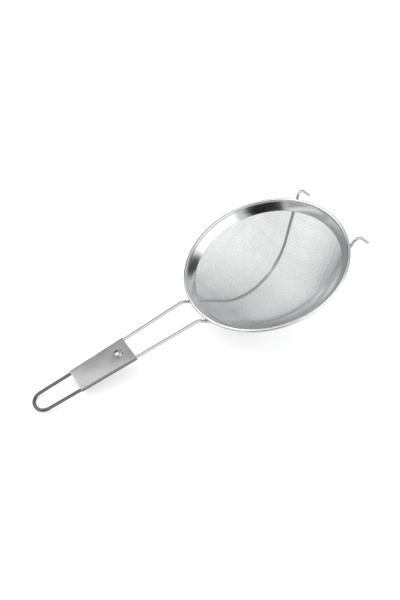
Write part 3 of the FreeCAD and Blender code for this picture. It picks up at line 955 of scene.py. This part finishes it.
class STRAINER_OT_hoop_wire(bpy.types.Operator):
    """Gives the hoop inside the bead its finish"""

    bl_idname = "strainer.hoop_wire"
    bl_label = "Hoop wire"

    def execute(self, context):
        hoop = frame["nodes"]["rim_hoop_wire"]
        material = hoop_metal(context.scene.strainer_colours)
        for place in hoop.material_slots:
            place.material = material
        if not hoop.material_slots:
            hoop.data.materials.append(material)
        return {"FINISHED"}


class STRAINER_OT_bowl(bpy.types.Operator):
    """Weaves the bowl from its two families of wires"""

    bl_idname = "strainer.bowl"
    bl_label = "Woven bowl"

    def execute(self, context):
        rim, cloth = context.scene.strainer_rim, context.scene.strainer_cloth
        shape = bowl_shape(rim, cloth)
        material = wire_cloth(context.scene.strainer_colours)
        tree = cloth_tree()
        turned = rim_placement() @ Matrix.Rotation(cloth.cloth_turn, 4, "Z")
        for family, name in enumerate(("bowl_warp_wires", "bowl_weft_wires")):
            points, lifts, out, edges = cloth_wires(shape, cloth, family)
            piece = guide_object(name, points, edges, {"lift": lifts}, {"outward": out})
            values = {
                "Wire diameter": cloth.wire_diameter,
                "Crimp": cloth.wire_diameter / 2,
                "Sides": cloth.wire_sides,
                "Material": material,
            }
            run_tree(piece, tree, values)
            piece.data.transform(turned)
            finish_piece(piece, "mesh_bowl", material, LOOSE_FIT)
        return {"FINISHED"}


class STRAINER_OT_frame_wire(bpy.types.Operator):
    """Bends the frame wire: hooks, cradle, legs and loop"""

    bl_idname = "strainer.frame_wire"
    bl_label = "Frame wire"

    def execute(self, context):
        wire = context.scene.strainer_wire
        corners = frame_corners(wire)
        edges = [(k, k + 1) for k in range(len(corners) - 1)]
        piece = guide_object(
            "bent_frame_wire",
            [c[0] for c in corners],
            edges,
            {"bend": [c[1] for c in corners], "girth": [c[3] for c in corners]},
            {},
        )
        steps = piece.data.attributes.new("steps", "INT", "POINT")
        steps.data.foreach_set("value", [c[2] for c in corners])
        material = drawn_wire(context.scene.strainer_colours)
        values = {"Wire diameter": wire.wire_diameter, "Sides": WIRE_SIDES, "Material": material}
        run_tree(piece, wire_tree(), values)
        piece.data.transform(rim_placement())
        finish_piece(piece, "frame_wire", material, CLOSE_FIT)
        return {"FINISHED"}


class STRAINER_OT_grip_sleeve(bpy.types.Operator):
    """Folds the grip's sheet round the two handle wires"""

    bl_idname = "strainer.grip_sleeve"
    bl_label = "Grip sleeve"

    def execute(self, context):
        wire, grip = context.scene.strainer_wire, context.scene.strainer_grip
        mesh = sleeve_mesh(wire, grip)
        mesh.transform(rim_placement() @ grip_placement(wire, grip))
        piece = link_object("folded_grip_sleeve", mesh)
        wall = piece.modifiers.new("Sheet gauge", "SOLIDIFY")
        wall.thickness, wall.offset = grip.sheet, 0.0
        edge = piece.modifiers.new("Rubbed edges", "BEVEL")
        edge.width, edge.segments = SHEET_EDGE_ROUNDING, 3
        edge.limit_method, edge.angle_limit = "ANGLE", math.radians(50)
        plain_mesh(piece)
        outward_and_smooth(piece.data)
        material = satin_sheet(context.scene.strainer_colours)
        finish_piece(piece, "grip_sleeve", material, SHEET_FIT)
        return {"FINISHED"}


class STRAINER_OT_grip_rivet(bpy.types.Operator):
    """Sets the rivet through both sheets of the grip"""

    bl_idname = "strainer.grip_rivet"
    bl_label = "Grip rivet"

    def execute(self, context):
        wire, grip = context.scene.strainer_wire, context.scene.strainer_grip
        mesh = turned_mesh("grip_rivet", rivet_profile(wire, grip), 96)
        along = Matrix.Translation((-grip.rivet_position, 0, 0))
        mesh.transform(rim_placement() @ grip_placement(wire, grip) @ along)
        piece = link_object("domed_grip_rivet", outward_and_smooth(mesh))
        material = headed_rivet(context.scene.strainer_colours)
        finish_piece(piece, "grip_rivet", material, SHEET_FIT)
        return {"FINISHED"}


class STRAINER_OT_frame_welds(bpy.types.Operator):
    """Adds the four weld nuggets between bead and frame wire"""

    bl_idname = "strainer.frame_welds"
    bl_label = "Frame welds"

    def execute(self, context):
        scene = context.scene
        shape = bowl_shape(scene.strainer_rim, scene.strainer_cloth)
        mesh = weld_mesh(scene.strainer_wire, shape)
        mesh.transform(rim_placement())
        piece = link_object("weld_nuggets", outward_and_smooth(mesh))
        finish_piece(piece, "frame_welds", weld_metal(scene.strainer_colours), LOOSE_FIT)
        return {"FINISHED"}


# ---------------------------------------------------------------- studio
def view_axes(azimuth, elevation):
    """The way towards a viewer who looks from there, and the viewer's right."""
    level = math.cos(elevation)
    back = Vector((math.sin(azimuth) * level, -math.cos(azimuth) * level, math.sin(elevation)))
    return back, Vector((math.cos(azimuth), math.sin(azimuth), 0.0))


def soft_panel():
    """A group that tells how far a direction lies inside a soft-edged panel of the studio."""
    tree = bpy.data.node_groups.new("Soft panel", "ShaderNodeTree")
    for label in ("Direction", "Right", "Up", "Forward"):
        tree.interface.new_socket(label, in_out="INPUT", socket_type="NodeSocketVector")
    for label in ("Half width", "Half height", "Softness"):
        tree.interface.new_socket(label, in_out="INPUT", socket_type="NodeSocketFloat")
    tree.interface.new_socket("Inside", in_out="OUTPUT", socket_type="NodeSocketFloat")
    given = add_node(tree, "NodeGroupInput").outputs
    right, up, forward = (
        add_node(
            tree, "ShaderNodeVectorMath", {0: given["Direction"], 1: given[axis]}, operation="DOT_PRODUCT"
        ).outputs["Value"]
        for axis in ("Right", "Up", "Forward")
    )
    sideways, upwards = maths(tree, "ARCTAN2", right, forward), maths(tree, "ARCSINE", up)
    shares = []
    for angle, half in ((sideways, given["Half width"]), (upwards, given["Half height"])):
        away = maths(tree, "ABSOLUTE", angle)
        ends = [maths(tree, way, half, given["Softness"]) for way in ("SUBTRACT", "ADD")]
        shares.append(spread(tree, away, ends, 1.0, 0.0, "SMOOTHSTEP"))
    add_node(tree, "NodeGroupOutput", {"Inside": maths(tree, "MULTIPLY", *shares)})
    return tree


# azimuth, elevation, half width, half height and softness in degrees, then brightness;
# later panels lie over earlier ones
STUDIO_PANELS = (
    ("table below", 0, -90, 90, 180, 3, 1.05),
    ("table behind, in shade", -165, -18, 36, 13, 7, 0.60),
    ("wall at the left", -102, 2, 26, 16, 5, 0.50),
    ("stripe on that wall", -98, 2, 22, 3, 3, 1.05),
    ("overhead box", -30, 82, 28, 20, 8, 1.2),
    ("wall behind", 178, 50, 34, 16, 6, 0.62),
    ("lamp behind", -137, 48, 15, 14, 8, 3.6),
    ("dark gap behind", 172, 10, 28, 20, 4, 0.02),
    ("strip light behind", 160, 21, 10, 4, 3, 2.6),
    ("small lamp at the side", 126, 12, 9, 8, 3, 1.5),
    ("key box", 24, 27, 34, 25, 3, 1.65),
    ("dark side of the room", -50, 16, 21, 15, 5, 0.01),
    ("gap beside the key box", 80, 26, 16, 13, 9, 0.10),
)


def studio_world(light):
    """The studio as a world: pale walls, a box overhead, a key box, and a dark side."""
    world = bpy.data.worlds.new("Plain studio")
    world.use_nodes = True
    tree = world.node_tree
    tree.nodes.clear()
    direction = add_node(tree, "ShaderNodeTexCoord").outputs["Generated"]
    group = soft_panel()
    level = STUDIO_WALLS
    for label, azimuth, elevation, width, height, soft, brightness in STUDIO_PANELS:
        forward, right = view_axes(math.radians(azimuth), math.radians(elevation))
        panel = add_node(tree, "ShaderNodeGroup", node_tree=group, label=label)
        tree.links.new(direction, panel.inputs["Direction"])
        for key, value in (
            ("Right", right),
            ("Up", forward.cross(right)),
            ("Forward", forward),
            ("Half width", math.radians(width)),
            ("Half height", math.radians(height)),
            ("Softness", math.radians(soft)),
        ):
            panel.inputs[key].default_value = value
        values = {"Factor": panel.outputs[0], 2: level, 3: brightness}
        level = add_node(tree, "ShaderNodeMix", values).outputs[0]
    values = {"Color": (1, 1, 1, 1), "Strength": maths(tree, "MULTIPLY", level, light)}
    glow = add_node(tree, "ShaderNodeBackground", values)
    add_node(tree, "ShaderNodeOutputWorld", {"Surface": glow.outputs[0]})
    return world


def opal_floor(colour):
    """Opal acrylic of a light table: matt, even and pale, lit a little from below, so shadows are faint."""
    material = bpy.data.materials.new("matt_opal_acrylic")
    material.use_nodes = True
    tree = material.node_tree
    tree.nodes.clear()
    values = {
        "Base Color": linear(colour),
        "Roughness": 0.9,
        "Specular IOR Level": 0.1,
        "Emission Color": (1.0, 1.0, 1.0, 1.0),
        "Emission Strength": FLOOR_GLOW,
    }
    shader = add_node(tree, "ShaderNodeBsdfPrincipled", values)
    add_node(tree, "ShaderNodeOutputMaterial", {"Surface": shader.outputs[0]})
    return material


class STRAINER_OT_stage(bpy.types.Operator):
    """Lays the pale floor, lights the studio and sets up the camera"""

    bl_idname = "strainer.stage"
    bl_label = "Floor, light and camera"

    def execute(self, context):
        scene, studio = context.scene, context.scene.strainer_studio
        lowest, flat, cove = cad_box[0].z, 2.0, 1.0
        profile = [(r, lowest) for r in (0.0, 0.5, 1.0, flat)]
        profile += [
            (flat + r, lowest + cove + h) for r, h in arc((0, 0), cove, -math.pi / 2, 0, 16)[1:]
        ]
        profile += [(flat + cove, lowest + 2.0), (flat + cove, lowest + 4.0)]
        mesh = turned_mesh("floor", profile, 96)
        mesh.polygons.foreach_set("use_smooth", [True] * len(mesh.polygons))
        mesh.materials.append(opal_floor(scene.strainer_colours.floor))
        floor = link_object("floor", mesh)
        # the floor catches light and shadow, and stands aside from the light that comes past it
        floor.visible_glossy = False
        floor.visible_shadow = False
        floor.visible_diffuse = False

        scene.world = studio_world(studio.light)
        scene.view_settings.view_transform = "Standard"

        back, right = view_axes(studio.azimuth, studio.elevation)
        up = back.cross(right)
        c, s = math.cos(studio.roll), math.sin(studio.roll)
        right, up = c * right + s * up, c * up - s * right
        data = bpy.data.cameras.new("camera")
        data.sensor_fit, data.sensor_width, data.lens = "AUTO", 36.0, studio.lens
        data.clip_start, data.clip_end = 0.01, 50.0
        camera = bpy.data.objects.new("camera", data)
        scene.collection.objects.link(camera)
        turn_to = Matrix((right, up, back)).transposed().to_4x4()
        camera.matrix_world = Matrix.Translation(Vector(studio.target) + back * studio.distance) @ turn_to
        scene.camera = camera
        return {"FINISHED"}


OPERATORS = (
    STRAINER_OT_stage,
    STRAINER_OT_rim_band,
    STRAINER_OT_hoop_wire,
    STRAINER_OT_bowl,
    STRAINER_OT_frame_wire,
    STRAINER_OT_frame_welds,
    STRAINER_OT_grip_sleeve,
    STRAINER_OT_grip_rivet,
)


class STRAINER_PT_panel(bpy.types.Panel):
    """Lists the strainer's operators"""

    bl_idname = "STRAINER_PT_panel"
    bl_label = "Tea strainer"
    bl_space_type = "VIEW_3D"
    bl_region_type = "UI"
    bl_category = "Tea strainer"

    def draw(self, context):
        for operator in OPERATORS:
            self.layout.operator(operator.bl_idname)


GROUPS = {
    "strainer_rim": RimSizes,
    "strainer_cloth": ClothSizes,
    "strainer_wire": WireSizes,
    "strainer_grip": GripSizes,
    "strainer_colours": FinishColours,
    "strainer_studio": StudioSettings,
}


def register():
    for name, group in GROUPS.items():
        bpy.utils.register_class(group)
        setattr(bpy.types.Scene, name, PointerProperty(type=group))
    for operator in OPERATORS:
        bpy.utils.register_class(operator)
    bpy.utils.register_class(STRAINER_PT_panel)


def unregister():
    bpy.utils.unregister_class(STRAINER_PT_panel)
    for operator in reversed(OPERATORS):
        bpy.utils.unregister_class(operator)
    for name, group in reversed(GROUPS.items()):
        delattr(bpy.types.Scene, name)
        bpy.utils.unregister_class(group)


def main():
    """Registers the add-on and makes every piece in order."""
    register()
    for operator in OPERATORS:
        family, name = operator.bl_idname.split(".")
        getattr(getattr(bpy.ops, family), name)()


if __name__ == "__main__":
    main()
